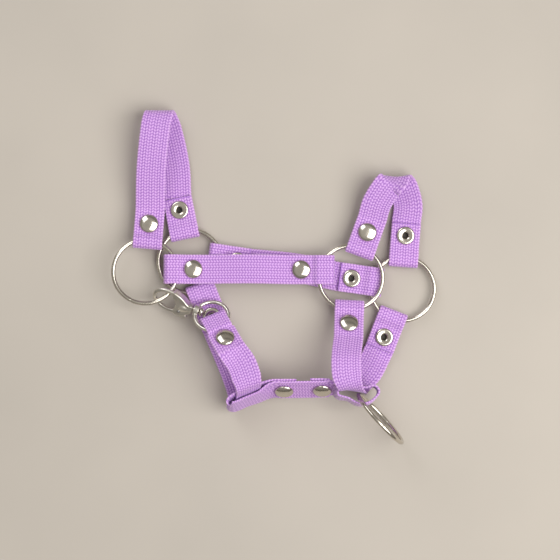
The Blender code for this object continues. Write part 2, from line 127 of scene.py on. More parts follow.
def ramp(tree, factor, stops):
    made = node(tree, "ShaderNodeValToRGB", {"Fac": factor})
    elements = made.color_ramp.elements
    while len(elements) < len(stops):
        elements.new(0.5)
    for element, (place, colour) in zip(elements, stops):
        element.position = place
        element.color = (*colour, 1)
    return made.outputs["Color"]


def webbing_material():
    """Lilac polypropylene webbing: light yarn crowns, painted shade deepening the pits between them to deep
    purple, glazed cut ends.
    """
    made, tree, shader = blank_material("lilac_webbing")
    uv = node(tree, "ShaderNodeUVMap", uv_map="weave").outputs["UV"]
    relief = node(tree, "ShaderNodeAttribute", attribute_name="relief").outputs["Fac"]
    fused = node(tree, "ShaderNodeAttribute", attribute_name="fused").outputs["Fac"]
    place = node(tree, "ShaderNodeTexCoord").outputs["Object"]
    lots = node(tree, "ShaderNodeTexNoise", {"Vector": place, "Scale": 45.0, "Detail": 3.0})
    fibres = node(tree, "ShaderNodeTexNoise", {"Vector": place, "Scale": 2600.0, "Detail": 2.0})
    yarn = node(tree, "ShaderNodeTexWave", {"Vector": uv, "Scale": 2.2, "Distortion": 1.2, "Detail": 1.0},
                bands_direction="DIAGONAL")
    mixed = node(tree, "ShaderNodeMath", {0: fibres.outputs["Fac"], 1: 0.18}, operation="MULTIPLY")
    height = node(tree, "ShaderNodeMath", {0: relief, 1: mixed.outputs[0]}, operation="ADD")
    lifted = node(tree, "ShaderNodeMath", {0: height.outputs[0], 1: 0.09}, operation="SUBTRACT")
    # painted shade: the colour darkens with the weave's depth, down to deep purple in the pits between the yarn
    # crowns
    colour = ramp(tree, lifted.outputs[0], [(0.1, WEB_PIT_SHADE), (0.46, WEB_MIDDLE), (0.82, WEB_LIGHT)])
    patches = ramp(tree, lots.outputs["Fac"], [(0.3, (0.93, 0.93, 0.95)), (0.7, (1, 1, 1))])
    shade = node(tree, "ShaderNodeMixRGB", {"Fac": 1.0, "Color1": colour, "Color2": patches},
                 blend_type="MULTIPLY")
    ends = node(tree, "ShaderNodeMixRGB", {"Fac": fused, "Color1": shade.outputs[0], "Color2": (*WEB_FUSED, 1)})
    tree.links.new(ends.outputs[0], shader.inputs["Base Color"])
    glaze = node(tree, "ShaderNodeMapRange", {"Value": fused, "To Min": 0.68, "To Max": 0.34})
    tree.links.new(glaze.outputs[0], shader.inputs["Roughness"])
    shader.inputs["Sheen Weight"].default_value = 0.35
    shader.inputs["Sheen Roughness"].default_value = 0.5
    shader.inputs["Subsurface Weight"].default_value = 0.06
    shader.inputs["Subsurface Radius"].default_value = (0.0012, 0.0008, 0.0014)
    bump = node(tree, "ShaderNodeBump", {"Height": yarn.outputs["Fac"], "Strength": 0.25, "Distance": 0.00008})
    fine = node(tree, "ShaderNodeBump", {"Height": fibres.outputs["Fac"], "Strength": 0.35,
                                         "Distance": 0.00005, "Normal": bump.outputs[0]})
    tree.links.new(fine.outputs[0], shader.inputs["Normal"])
    return made


def metal_material(name, colour, smooth_end, rough_end, scratch=0.15):
    """Plated metal: a polished skin with faint uneven spots and hairline scratches."""
    made, tree, shader = blank_material(name)
    place = node(tree, "ShaderNodeTexCoord").outputs["Object"]
    cloud = node(tree, "ShaderNodeTexNoise", {"Vector": place, "Scale": 160.0, "Detail": 4.0})
    rough = node(tree, "ShaderNodeMapRange", {"Value": cloud.outputs["Fac"], "From Min": 0.3, "From Max": 0.7,
                                              "To Min": smooth_end, "To Max": rough_end})
    tree.links.new(rough.outputs[0], shader.inputs["Roughness"])
    dull = tuple(c * 0.86 for c in colour)
    tint = ramp(tree, cloud.outputs["Fac"], [(0.35, dull), (0.6, colour)])
    tree.links.new(tint, shader.inputs["Base Color"])
    shader.inputs["Metallic"].default_value = 1
    stretched = node(tree, "ShaderNodeMapping", {"Vector": place, "Scale": (3000, 300, 1200)})
    hair = node(tree, "ShaderNodeTexNoise", {"Vector": stretched.outputs[0], "Scale": 1.0, "Detail": 2.0})
    bump = node(tree, "ShaderNodeBump", {"Height": hair.outputs["Fac"], "Strength": scratch,
                                         "Distance": 0.00002})
    tree.links.new(bump.outputs[0], shader.inputs["Normal"])
    return made


def floor_material():
    made, tree, shader = blank_material("pale_floor")
    place = node(tree, "ShaderNodeTexCoord").outputs["Object"]
    cloud = node(tree, "ShaderNodeTexNoise", {"Vector": place, "Scale": 9.0, "Detail": 3.0})
    tree.links.new(ramp(tree, cloud.outputs["Fac"], [(0.3, FLOOR_LOW), (0.7, FLOOR_HIGH)]),
                   shader.inputs["Base Color"])
    shader.inputs["Roughness"].default_value = 0.7
    return made


# painted shade of the weave, from the bottom of the pits through their slopes to the lit yarn crowns; the
# glazed ends and floor are own colours
WEB_PIT_SHADE = (0.23, 0.075, 0.42)
WEB_MIDDLE = (0.49, 0.24, 0.66)
WEB_LIGHT = (0.72, 0.44, 0.84)
WEB_FUSED = (0.44, 0.2, 0.68)
FLOOR_LOW = (0.46, 0.425, 0.38)
FLOOR_HIGH = (0.5, 0.46, 0.41)
WEBBING = webbing_material()
NICKEL = metal_material("nickel", (0.66, 0.62, 0.55), 0.1, 0.22)
CAST = metal_material("cast_nickel", (0.78, 0.75, 0.68), 0.26, 0.36, 0.02)
STEEL = metal_material("spring_steel", (0.5, 0.5, 0.5), 0.25, 0.4)
# painted shade: a near-black metal standing for the dark inside of the rivet bores
BORE = metal_material("bore_shadow", (0.08, 0.075, 0.07), 0.5, 0.7)


# ---------------------------------------------------------------- mesh builders

def new_object(name, data):
    made = bpy.data.objects.new(name, data)
    bpy.context.scene.collection.objects.link(made)
    return made


def grid_mesh(name, rows, closed_rows=False, capped=False):
    """A mesh from an array of rows of points (millimetres); every row is a closed loop."""
    count, around, _ = rows.shape
    data = bpy.data.meshes.new(name)
    first = np.arange(count if closed_rows else count - 1)[:, None] * around
    side = np.arange(around)[None, :]
    after = (side + 1) % around
    below = (first + around) % (count * around)
    quads = np.stack([first + side, first + after, below + after, below + side], axis=2).reshape(-1, 4)
    faces = quads.tolist()
    if capped:
        faces.append(list(range(around))[::-1])
        faces.append([(count - 1) * around + k for k in range(around)])
    data.from_pydata((rows.reshape(-1, 3) * MM).tolist(), [], faces)
    data.shade_smooth()
    return data


def outward(data):
    work = bmesh.new()
    work.from_mesh(data)
    bmesh.ops.remove_doubles(work, verts=work.verts, dist=0.000002)
    bmesh.ops.recalc_face_normals(work, faces=work.faces)
    work.to_mesh(data)
    work.free()
    return data


def placed(obj, matrix):
    """Put the placing into the mesh itself, so that the piece's box stays tight."""
    obj.data = obj.data.copy()
    obj.data.transform(matrix)
    return obj


def dress(obj, finish, body, slot, *nodes):
    if obj.matrix_world != Matrix():
        placed(obj, obj.matrix_world.copy())
        obj.matrix_world = Matrix()
    obj.data.materials.clear()
    obj.data.materials.append(finish)
    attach(obj, body)
    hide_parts(*nodes)
    return obj


def frame_matrix(origin, x_axis, z_axis):
    x_axis = x_axis.normalized()
    y_axis = z_axis.cross(x_axis).normalized()
    z_axis = x_axis.cross(y_axis)
    return Matrix.Translation(origin) @ Matrix((x_axis, y_axis, z_axis)).transposed().to_4x4()


def ring_matrix(centre, normal):
    return frame_matrix(centre * MM, normal.orthogonal(), normal)


def turned(name, profile, steps=48):
    """A turned mesh: (radius, height) points round Z."""
    angles = np.linspace(0, 2 * pi, steps, endpoint=False)
    rows = np.array([[(r * cos(a), r * sin(a), z) for a in angles] for r, z in profile])
    closed = profile[0][0] > 0 and profile[-1][0] > 0
    data = grid_mesh(name, rows, closed_rows=closed)
    outward(data)
    data.shade_smooth()
    data.set_sharp_from_angle(angle=radians(50))
    return data


def cutter(name, data, matrix):
    made = new_object(name, data)
    made.matrix_world = matrix
    made.hide_render = True
    made.hide_viewport = True
    return made


def cylinder_cutter(name, radius, start, end, steps=32):
    axis = end - start
    length = axis.length
    data = turned(name, [(0, -length / 2), (radius, -length / 2), (radius, length / 2), (0, length / 2)], steps)
    return cutter(name, data, frame_matrix((start + end) / 2 * MM, axis.orthogonal(), axis))


def applied(obj):
    """Bake the modifiers into the mesh, and drop the cutters that they used."""
    used = [m.object for m in obj.modifiers if m.type == "BOOLEAN"]
    bpy.context.view_layer.update()
    depsgraph = bpy.context.evaluated_depsgraph_get()
    data = bpy.data.meshes.new_from_object(obj.evaluated_get(depsgraph), preserve_all_data_layers=True,
                                           depsgraph=depsgraph)
    obj.modifiers.clear()
    obj.data = data
    for item in set(used):
        bpy.data.objects.remove(item)
    return obj


def combine(obj, other, operation="DIFFERENCE", solver="MANIFOLD"):
    step = obj.modifiers.new(other.name, "BOOLEAN")
    step.operation = operation
    step.object = other
    step.solver = solver


# ---------------------------------------------------------------- straps

def ease(s):
    return s * s * (3 - 2 * s)


def spline(keys):
    """Points and width directions along a smooth curve through (point, width direction) keys."""
    samples = []
    for i in range(len(keys) - 1):
        before = keys[max(i - 1, 0)]
        start, end = keys[i], keys[i + 1]
        after = keys[min(i + 2, len(keys) - 1)]
        span = (end[0] - start[0]).length
        leave = (end[0] - before[0]).normalized() * span
        arrive = (after[0] - start[0]).normalized() * span
        steps = max(2, round(span / 0.8))
        for k in range(steps):
            s = k / steps
            point = (start[0] * (2 * s**3 - 3 * s**2 + 1) + leave * (s**3 - 2 * s**2 + s)
                     + end[0] * (3 * s**2 - 2 * s**3) + arrive * (s**3 - s**2))
            samples.append((point, start[1].lerp(end[1], ease(s))))
    samples.append(keys[-1])
    return samples


def weave(across, along, phase):
    """Height of the webbing's face, 0 to 1: columns of leaning yarn crowns with a pit at each turn."""
    column = across / (STRAP_WIDTH / COLUMNS)
    side = np.where(np.mod(np.floor(column), 2) > 0, 1.0, -1.0)
    within = np.mod(column, 1)
    lag = side * (COLUMN_SHIFT + YARN_LEAN * (within - 0.5))
    crown = 0.5 + 0.5 * np.cos(2 * pi * (along / PITCH + lag + phase))
    rib = np.clip(np.sin(pi * within), 0, 1) ** 0.55
    return rib * (0.3 + 0.7 * crown ** 0.7)


def ribbon_mesh(name, samples):
    """A strap's mesh along (point, width direction) samples, with the weave raised on both faces."""
    places = np.array([p for p, _ in samples])
    widths = np.array([w for _, w in samples])
    travelled = np.concatenate([[0], np.cumsum(np.linalg.norm(np.diff(places, axis=0), axis=1))])
    length = travelled[-1]
    count = int(length / SPACING)
    at = np.linspace(0, length, count)
    places = np.stack([np.interp(at, travelled, places[:, k]) for k in range(3)], axis=1)
    widths = np.stack([np.interp(at, travelled, widths[:, k]) for k in range(3)], axis=1)
    narrow = np.linalg.norm(widths, axis=1)
    ahead = np.gradient(places, axis=0)
    ahead /= np.linalg.norm(ahead, axis=1)[:, None]
    widths -= ahead * np.sum(widths * ahead, axis=1)[:, None]
    widths /= np.linalg.norm(widths, axis=1)[:, None]
    faces_out = np.cross(widths, ahead)

    half = STRAP_WIDTH / 2 - SELVEDGE
    across = np.linspace(-half, half, FACE_POINTS)
    arc = [radians(a) for a in (45, 0, -45)]
    x = np.concatenate([across, [half + SELVEDGE * cos(a) for a in arc], across[::-1],
                        [-half - SELVEDGE * cos(a) for a in arc]])
    side = np.concatenate([np.ones(FACE_POINTS), [sin(a) for a in arc], -np.ones(FACE_POINTS),
                           [-sin(a) for a in arc]])
    on_face = np.concatenate([np.ones(FACE_POINTS), np.zeros(3), np.ones(FACE_POINTS), np.zeros(3)])
    grid_x, grid_at = np.meshgrid(x, at)
    phase = np.where(side > 0, 0.0, 0.5)[None, :]
    crown = weave(grid_x + STRAP_WIDTH / 2, grid_at, phase)
    beads = 0.5 + 0.5 * np.cos(2 * pi * grid_at / PITCH)
    crown = np.where(on_face[None, :] > 0, crown, 0.35 + 0.6 * beads)
    reach = np.where(on_face[None, :] > 0, 0, (beads - 0.5) * BEAD) * np.sign(grid_x)
    rise = (side[None, :] * (STRAP_THICKNESS / 2 - RELIEF * 0.95)
            + np.sign(side)[None, :] * RELIEF * crown * on_face)
    slack = np.minimum(np.minimum(at, length - at) / 1.2, 1)
    fused = np.clip(1 - np.minimum(at, length - at) / FUSED_END, 0, 1)
    rise *= (0.72 + 0.28 * slack)[:, None]
    rows = (places[:, None, :] + widths[:, None, :] * ((grid_x + reach) * narrow[:, None])[..., None]
            + faces_out[:, None, :] * rise[..., None])
    data = grid_mesh(name, rows, capped=True)

    layer = data.uv_layers.new(name="weave")
    corners = np.empty(len(data.loops), int)
    data.loops.foreach_get("vertex_index", corners)
    flat = np.stack([(grid_x + STRAP_WIDTH / 2).ravel() / STRAP_WIDTH, grid_at.ravel() / STRAP_WIDTH], axis=1)
    layer.data.foreach_set("uv", flat[corners].astype(np.float32).ravel())
    # relief, the weave's height, also sets the webbing's painted shade: darker in the pits and between the
    # selvedge beads
    for label, values in (("relief", crown.ravel()), ("fused", np.repeat(fused, len(x)))):
        store = data.attributes.new(label, "FLOAT", "POINT")
        store.data.foreach_set("value", values.astype(np.float32))
    work = bmesh.new()
    work.from_mesh(data)
    bmesh.ops.recalc_face_normals(work, faces=work.faces)
    work.to_mesh(data)
    work.free()
    return data


def strap_end(centre, along, outer, run, radius=RING_RADIUS, wire=RING_WIRE,
              sideways=0.0, slack=0.0, lift=0.0, spread=0.0, squeeze=1.0):
    """The loop of one strap end round a ring, from its outer layer to its cut end."""
    along = (along - outer * along.dot(outer)).normalized()
    across = along.cross(outer)
    at_edge = sqrt(radius**2 - (abs(sideways) + squeeze * STRAP_WIDTH / 2)**2)
    fold_at = at_edge - wire * (radius / at_edge - 1) - slack
    straight = radius - fold_at + 0.3
    pivot = centre + along * (fold_at + straight / 2) + across * sideways
    turn = Matrix.Rotation(lift, 3, across)
    along, outer = turn @ along, turn @ outer
    fold = pivot - along * straight / 2
    half = wire + LOOP_GAP + STRAP_THICKNESS / 2 + spread
    flat = run - FLAT
    slope = [k / 10 for k in range(1, 10)]
    outline = [(run + CUT_END + 1.0, LAYER), (run, LAYER), (flat, LAYER)]
    outline += [(flat + (straight - flat) * s, LAYER + (half - LAYER) * ease(s)) for s in slope]
    outline += [(straight, half)]
    outline += [(-half * sin(pi * k / 20), half * cos(pi * k / 20)) for k in range(21)]
    outline += [(straight, -half)]
    outline += [(straight + (flat - straight) * s, -half + (half - LAYER) * ease(s)) for s in slope]
    outline += [(flat, -LAYER), (run, -LAYER), (run + CUT_END, -LAYER)]
    samples = [(fold + along * d + outer * h, across * (squeeze if d < flat - 0.01 else 1)) for d, h in outline]
    return {"samples": samples, "rivet": fold + along * run, "outward": outer}


def key(x, y, z, across_x=1.0, across_y=0.0, across_z=0.0, width=1.0):
    return Vector((x, y, z)), Vector((across_x, across_y, across_z)).normalized() * width


def finish_strap(name, samples, rivets):
    made = new_object(f"{name}_webbing", ribbon_mesh(name, samples))
    for number, (place, outer) in enumerate(rivets):
        reach = outer * (CAP_BASE - 0.05)
        combine(made, cylinder_cutter(f"{name}_eyelet_{number}", POST_RADIUS + EYELET_CLEARANCE,
                                      place - reach, place + reach))
    applied(made)
    return dress(made, WEBBING, "straps", "webbing", name)


def strap(name, first, middle, last):
    start = list(reversed(first["samples"]))
    end = [(point, -across) for point, across in last["samples"]]
    route = spline([start[-1]] + middle + [end[0]])
    return finish_strap(name, start[:-1] + route + end[1:],
                        [(loop["rivet"], loop["outward"]) for loop in (first, last)])


# ---------------------------------------------------------------- rings

def tilted(slope_x, slope_y):
    return Vector((-slope_x, -slope_y, 1)).normalized()


def ring_mesh(name, radius, wire, seam=0.0, steps=168, sides=20):
    """A ring of round wire with the fine groove of its butt weld at the given angle."""
    rows = []
    for i in range(steps):
        angle = 2 * pi * i / steps
        apart = abs((i - seam * steps / 360 + steps / 2) % steps - steps / 2)
        bar = wire * (1 - 0.16 * exp(-(apart / 0.7) ** 2))
        rows.append([((radius + bar * cos(b)) * cos(angle), (radius + bar * cos(b)) * sin(angle), bar * sin(b))
                     for b in np.linspace(0, 2 * pi, sides, endpoint=False)])
    return outward(grid_mesh(name, np.array(rows), closed_rows=True))


CROWN_NEAR = Vector((-66.1, 2.5, 9.3))
CROWN_OFF = Vector((-43.4, 7.7, OFF_LEVEL))
NOSE_NEAR = Vector((39.2, -0.6, NEAR_LEVEL))
NOSE_OFF = Vector((66.06, -6.4, OFF_LEVEL))
CROWN_NEAR_NORMAL = tilted(-0.065, -0.07)
LEAD_LEAN = radians(5)
LEAD_RING = Vector((53.6, -72.05, RING_RADIUS * cos(LEAD_LEAN) + RING_WIRE))
LEAD_ALONG = Vector((0.68, -0.73, 0)).normalized()
LEAD_NORMAL = Matrix.Rotation(LEAD_LEAN, 3, LEAD_ALONG) @ LEAD_ALONG.cross(UP)
EYE = Vector((-31.9, -20.1, 12.8))
EYE_NORMAL = Vector((0, sin(radians(35)), cos(radians(35))))


def build_rings():
    for name, centre, normal, seam in (
            ("crown_ring_near", CROWN_NEAR, CROWN_NEAR_NORMAL, 200), ("crown_ring_off", CROWN_OFF, UP, 40),
            ("nose_ring_near", NOSE_NEAR, UP, 300), ("nose_ring_off", NOSE_OFF, UP, 75),
            ("lead_ring", LEAD_RING, LEAD_NORMAL, 120)):
        made = new_object(f"{name}_wire", ring_mesh(name, RING_RADIUS, RING_SKIN, seam))
        made.matrix_world = ring_matrix(centre, normal)
        dress(made, NICKEL, name, "nickel", name)


# ---------------------------------------------------------------- rivets

def dome_profile():
    """A pressed cap: a shallow dome, a tight shoulder, a rolled rim, and a hollow underside."""
    top = [(CAP_RADIUS * s, CAP_TOP - 1.15 * s**2.6)
           for s in (0, 0.12, 0.24, 0.36, 0.48, 0.6, 0.7, 0.79, 0.87, 0.93)]
    rim = [(CAP_RADIUS * 0.975, CAP_TOP - 1.22), (CAP_RADIUS, CAP_BASE + 0.4), (CAP_RADIUS, CAP_BASE + 0.15),
           (CAP_RADIUS - 0.12, CAP_BASE + 0.02), (CAP_RADIUS - 0.4, CAP_BASE)]
    under = [(POST_RADIUS + 0.25, CAP_BASE), (POST_RADIUS + 0.25, 2.5), (0, 2.5)]
    return top + rim + under


def flange_profile():
    """A hollow post whose foot is flared into a flange, dished towards its bore."""
    return [(POST_RADIUS, 2.2), (POST_RADIUS, -CAP_BASE), (FLANGE_RADIUS - 0.3, -CAP_BASE),
            (FLANGE_RADIUS - 0.05, -CAP_BASE - 0.12), (FLANGE_RADIUS, -CAP_BASE - 0.32),
            (FLANGE_RADIUS - 0.12, -CAP_BASE - 0.55), (4.15, -FLANGE_FACE + 0.06), (3.7, -FLANGE_FACE),
            (3.2, -FLANGE_FACE + 0.03), (2.6, -FLANGE_FACE + 0.12), (2.1, -FLANGE_FACE + 0.2),
            (1.75, -FLANGE_FACE + 0.36), (POST_BORE + 0.05, -FLANGE_FACE + 0.62), (POST_BORE, -1.4),
            (POST_BORE, 2.2)]


def build_rivets(rivets):
    cap_data = turned("cap", dome_profile(), 56)
    post_data = turned("post", flange_profile(), 56)
    bore = POST_BORE - 0.03
    # painted shade: a near-black disc down in each hollow post, where the bore is only dark
    shadow_data = turned("bore_shade_disc", [(0, 1.0), (bore, 1.0), (bore, 0.8), (0, 0.8)], 40)
    cap_data.materials.append(NICKEL)
    post_data.materials.append(NICKEL)
    shadow_data.materials.append(BORE)
    for number, (name, (place, outer)) in enumerate(sorted(rivets.items())):
        matrix = ring_matrix(place, outer) @ Matrix.Rotation(number * 0.9, 4, "Z")
        for data, label, replaced in ((cap_data, "dome", "cap"), (post_data, "flange", "post")):
            made = placed(new_object(f"{name}_{label}", data), matrix)
            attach(made, "straps")
            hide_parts(f"{name}_{replaced}")
        plug = placed(new_object(f"{name}_bore", shadow_data), matrix)
        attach(plug, "straps")


# ---------------------------------------------------------------- the straps' routes

def build_straps():
    loops = {
        "crown_near": strap_end(CROWN_NEAR, Vector((0.08, 1, 0)), CROWN_NEAR_NORMAL, 10.2),
        "crown_off": strap_end(CROWN_OFF, Vector((-0.2, 0.98, 0)), DOWN, 12.7),
        "nose_near": strap_end(NOSE_NEAR, Vector((0.34, 0.94, 0)), UP, 10.4),
        "nose_off": strap_end(NOSE_OFF, Vector((0.08, 1, 0)), DOWN, 13.6, sideways=0.8),
        "cheek_near_crown": strap_end(CROWN_NEAR, Vector((1, 0, 0)), CROWN_NEAR_NORMAL, 12.4,
                                      sideways=-1.3, slack=1.4),
        "cheek_near_nose": strap_end(NOSE_NEAR, Vector((-1, 0, 0)), UP, 14.5, sideways=4.1),
        "cheek_off_crown": strap_end(CROWN_OFF, Vector((0.99, -0.143, 0)), DOWN, 12.6, sideways=3.6),
        "cheek_off_nose": strap_end(NOSE_OFF, Vector((-0.99, 0.143, 0)), DOWN, 13.6, sideways=-1.6),
        "chin_near": strap_end(NOSE_NEAR, Vector((-0.05, -1, 0)), UP, 10.8, lift=radians(29), spread=0.35),
        "chin_off": strap_end(NOSE_OFF, Vector((-0.36, -0.93, 0)), DOWN, 12.3),
        "throat_near": strap_end(EYE, Vector((0.52, -0.85, 0.60)), EYE_NORMAL, 14.0,
                                 EYE_RADIUS, EYE_WIRE, squeeze=0.9, slack=2.8),
        "throat_off": strap_end(CROWN_OFF, Vector((0.37, -0.93, 0)), DOWN, 16.0),
    }
    strap("crown_strap", loops["crown_near"], [
        key(-62.9, 54.3, 12.0, 0.995, -0.08), key(-60.6, 75.5, 14.3, 0.995, -0.02),
        key(-59.3, 82.4, 12.6), key(-58.6, 84.6, 8.6), key(-58.0, 82.4, 4.6, 0.99, 0.06),
        key(-55.2, 75.5, 2.9, 0.98, 0.16), key(-51.2, 57.0, OFF_STRAP, 0.98, 0.18),
    ], loops["crown_off"])
    strap("nose_strap", loops["nose_near"], [
        key(52.4, 37.5, 10.8, 0.92, -0.38), key(57.6, 45.8, 12.8, 0.95, -0.3),
        key(60.5, 48.3, 11.8, 0.99, -0.04), key(62.6, 50.7, 8.3), key(64.7, 48.4, 4.7, 1, -0.02),
        key(66.9, 44.6, 3.1, 0.99, 0.12), key(68.9, 36.5, OFF_STRAP, 1, 0.03),
    ], loops["nose_off"])
    strap("cheek_strap_near", loops["cheek_near_crown"], [
        key(-13.0, 3.9, NEAR_LEVEL + 1.2, 0, -1),
    ], loops["cheek_near_nose"])
    strap("cheek_strap_off", loops["cheek_off_crown"], [
        key(10.5, 4.5, OFF_STRAP, 0.143, 0.99),
    ], loops["cheek_off_nose"])
    strap("chin_strap", loops["chin_near"], [
        key(36.2, -40.8, 25.0, -1, 0.02), key(36.4, -49.0, 27.0, -1, 0.03),
        key(38.0, -54.8, 26.2, -0.99, 0.06, width=0.88), key(40.3, -57.3, 22.0, -0.98, 0.14, width=0.76),
        key(40.6, -57.5, 15.0, -0.97, 0.22, width=0.86), key(41.6, -57.4, 7.6, -0.94, 0.34, width=0.86),
        key(43.8, -54.2, 3.6, -0.91, 0.42, width=0.93), key(48.6, -48.4, OFF_STRAP, -0.87, 0.49),
    ], loops["chin_off"])
    strap("throat_strap", loops["throat_near"], [
        key(-16.6, -43.8, 25.4, -0.94, -0.34), key(-14.2, -50.0, 25.8, -0.93, -0.37),
        key(-12.9, -54.8, 24.8, -0.93, -0.37, width=0.9), key(-12.9, -57.4, 21.6, -0.93, -0.37, width=0.86),
        key(-13.3, -60.3, 16.0, -0.93, -0.37, width=0.9), key(-14.2, -63.3, 9.5, -0.93, -0.37, width=0.9),
        key(-15.0, -65.0, 5.2, -0.93, -0.37, width=0.95), key(-16.0, -62.6, 3.0, -0.93, -0.37),
        key(-18.2, -55.0, OFF_STRAP, -0.93, -0.37), key(-22.8, -43.0, OFF_STRAP, -0.93, -0.37),
    ], loops["throat_off"])
    return {rivet: (loops[loop]["rivet"], loops[loop]["outward"]) for rivet, loop in {
        "crown_rivet_near": "crown_near", "crown_rivet_off": "crown_off",
        "nose_rivet_near": "nose_near", "nose_rivet_off": "nose_off",
        "cheek_rivet_near_rear": "cheek_near_crown", "cheek_rivet_near_front": "cheek_near_nose",
        "cheek_rivet_off_rear": "cheek_off_crown", "cheek_rivet_off_front": "cheek_off_nose",
        "chin_rivet_near": "chin_near", "chin_rivet_off": "chin_off",
        "throat_rivet_near": "throat_near", "throat_rivet_off": "throat_off"}.items()}


def build_jaw_strap():
    outer = Vector((0, -0.8, 0.6))
    across = Vector((0, 0.6, 0.8))
    rear, front = Vector((5.0, -57.0, 15.0)), Vector((24.4, -56.6, 15.8))
    outside, inside = outer * LAYER, -outer * LAYER
    near_rear, near_front = Vector((-4.9, 0, 0)), Vector((5.3, 0, 0))
    rear_loop = [
        key(-7.6, -61.2, 14.4, 0, 0.42, 0.91), key(-14.5, -63.8, 14.2, 0, 0.39, 0.92),
        key(-20.6, -66.2, 14.0, 0, 0.39, 0.92), key(-23.0, -65.4, 14.0, 0, 0.39, 0.92),
        key(-21.6, -62.8, 14.0, 0, 0.39, 0.92), key(-14.5, -59.6, 14.2, 0, 0.39, 0.92),
        key(-7.2, -56.8, 14.4, 0, 0.42, 0.91),
    ]
    front_loop = [
        key(32.2, -60.9, 16.3, 0, 0.2, 0.98), key(37.2, -62.2, 16.4, 0, 0.15, 1),
        key(42.4, -64.8, 16.4, 0, 0.15, 1), key(47.4, -64.5, 16.4, 0, 0.15, 1),
        key(51.4, -61.4, 16.4, 0, 0.15, 1), key(52.8, -58.2, 16.4, 0, 0.1, 1),
        key(50.6, -55.6, 16.4, 0, 0.1, 1), key(45.8, -56.2, 16.4, 0, 0.05, 1),
        key(39.6, -54.8, 16.4, 0, 0.05, 1), key(33.6, -53.4, 16.3, 0, 0.1, 1),
    ]
    cut_rear, cut_front = Vector((CUT_END, 0, 0)), Vector((-CUT_END, 0, 0))
    route = ([(rear + inside + cut_rear, across), (rear + inside, across)]
             + [(rear + inside + near_rear, across)] + rear_loop[::-1]
             + [(rear + outside + near_rear, across), (rear + outside, across)]
             + [(front + outside, across), (front + outside + near_front, across)]
             + front_loop
             + [(front + inside + near_front, across), (front + inside, across),
                (front + inside + cut_front, across)])
    rivets = {"jaw_rivet_rear": (rear, outer), "jaw_rivet_front": (front, outer)}
    finish_strap("jaw_strap", spline(route), list(rivets.values()))
    return rivets


# ---------------------------------------------------------------- clasp

def clasp_frame():
    towards_boss = Vector((-0.94, 0.34, 0))
    towards_boss.z = -EYE_NORMAL.y * towards_boss.y / EYE_NORMAL.z
    boss = EYE + towards_boss.normalized() * EYE_RADIUS
    u_axis = Vector((0.938, -0.339, 0.07)).normalized()
    level = UP.cross(u_axis).normalized()
    v_axis = Matrix.Rotation(HOOK_ROLL, 3, u_axis) @ level
    return frame_matrix((boss - u_axis * BOSS_AT) * MM, u_axis, u_axis.cross(v_axis))


def rounded_outline(points, per_side=5):
    """A closed smooth curve through the outline's corners."""
    made = []
    count = len(points)
    for i in range(count):
        a, b, c, d = (Vector(points[(i + k) % count]) for k in (-1, 0, 1, 2))
        for k in range(per_side):
            s = k / per_side
            made.append((b * 2 + (c - a) * s + (a * 2 - b * 5 + c * 4 - d) * s**2
                         + (b * 3 - a - c * 3 + d) * s**3) / 2)
    return made


def plate_mesh(name, outline, half_thickness, edge, resolution=1):
    """A flat piece with well-rounded edges."""
    curve = bpy.data.curves.new(name, "CURVE")
    curve.dimensions = "2D"
    curve.fill_mode = "BOTH"
    curve.extrude = (half_thickness - edge) * MM
    curve.bevel_depth = edge * MM
    curve.offset = -edge * MM
    curve.bevel_resolution = resolution
    line = curve.splines.new("POLY")
    line.points.add(len(outline) - 1)
    for point, (u, v) in zip(line.points, outline):
        point.co = (u * MM, v * MM, 0, 1)
    line.use_cyclic_u = True
    return curve_to_mesh(curve, name)


def bar_mesh(name, points, radii, resolution=6):
    """A round bar through points, with its own radius at each."""
    curve = bpy.data.curves.new(name, "CURVE")
    curve.dimensions = "3D"
    curve.bevel_depth = MM
    curve.bevel_resolution = resolution
    curve.use_fill_caps = True
    line = curve.splines.new("POLY")
    line.points.add(len(points) - 1)
    for point, place, radius in zip(line.points, points, radii):
        point.co = (*(Vector(place) * MM), 1)
        point.radius = radius
    return curve_to_mesh(curve, name)


def curve_to_mesh(curve, name):
    holder = new_object(name + "_curve", curve)
    bpy.context.view_layer.update()
    depsgraph = bpy.context.evaluated_depsgraph_get()
    data = bpy.data.meshes.new_from_object(holder.evaluated_get(depsgraph))
    bpy.data.objects.remove(holder)
    return outward(data)


def softened(obj, voxel, rounds):
    """Melt the joined shapes into one cast skin."""
    melt = obj.modifiers.new("melt", "REMESH")
    melt.mode = "VOXEL"
    melt.voxel_size = voxel * MM
    ease_off = obj.modifiers.new("ease", "SMOOTH")
    ease_off.factor = 0.5
    ease_off.iterations = rounds
    applied(obj)
    obj.data.shade_smooth()
    return obj


def local_cylinder(name, radius, place, start, end):
    """A round bar or cutter between two points of the clasp's own frame."""
    ends = [(place @ (Vector(point) * MM)) / MM for point in (start, end)]
    return cylinder_cutter(name, radius, *ends)


